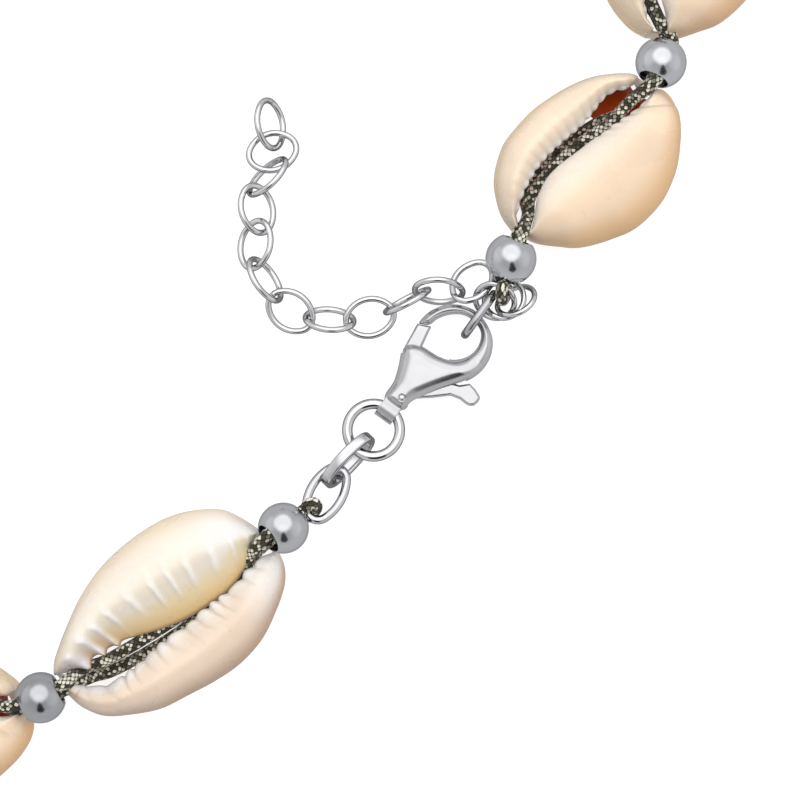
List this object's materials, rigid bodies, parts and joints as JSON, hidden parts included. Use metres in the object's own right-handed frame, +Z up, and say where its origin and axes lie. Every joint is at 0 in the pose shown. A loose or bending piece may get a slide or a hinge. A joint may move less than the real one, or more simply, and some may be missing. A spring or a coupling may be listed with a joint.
{
  "type": "cowrie shell necklace",
  "caption": "Necklace of cut cowrie shells and small silver beads on a doubled cord, with a lobster clasp and an extender chain.",
  "frame": {"origin": "on the surface that the necklace lies on, under the middle of its outline", "axes": "+X along the length of the loop, clasp at -Y, +Z up from the surface through the openings of the shells"},
  "size_m": [0.138, 0.095, 0.0064],
  "materials": {
    "shell": "glossy cream shell",
    "bead": "polished silver, slightly dark",
    "cord": "dark olive braid with light flecks",
    "silver": "polished silver"
  },
  "bodies": {
    "necklace": {"shell_01": "shell", "shell_02": "shell", "shell_03": "shell", "shell_04": "shell", "shell_05": "shell", "shell_06": "shell", "shell_07": "shell", "shell_08": "shell", "shell_09": "shell", "shell_10": "shell", "shell_11": "shell", "shell_12": "shell", "shell_13": "shell", "shell_14": "shell", "shell_15": "shell", "bead_01": "bead", "bead_02": "bead", "bead_03": "bead", "bead_04": "bead", "bead_05": "bead", "bead_06": "bead", "bead_07": "bead", "bead_08": "bead", "bead_09": "bead", "bead_10": "bead", "bead_11": "bead", "bead_12": "bead", "bead_13": "bead", "bead_14": "bead", "bead_15": "bead", "bead_16": "bead", "chain_link_01": "silver", "chain_link_02": "silver", "chain_link_03": "silver", "chain_link_04": "silver", "chain_link_05": "silver", "chain_link_06": "silver", "chain_link_07": "silver", "chain_link_08": "silver", "chain_link_09": "silver", "chain_link_10": "silver", "chain_link_11": "silver", "chain_link_12": "silver", "cord_link": "silver", "band_link": "silver", "jump_ring": "silver", "clasp_body": "silver", "clasp_rivet": "silver", "hook_link": "silver", "end_ring_1": "silver", "end_ring_2": "silver", "end_ring_3": "silver", "cord": "cord"},
    "lever": {"clasp_lever": "silver"}
  },
  "joints": [
    {"name": "clasp_lever_hinge", "type": "hinge", "parent": "necklace", "child": "lever", "pos_m": [-0.00158, -0.04324, 0.0016], "axis": [0, 0, -1], "range_deg": [0, 25], "stiffness_Nm_per_rad": 0.002}
  ]
}
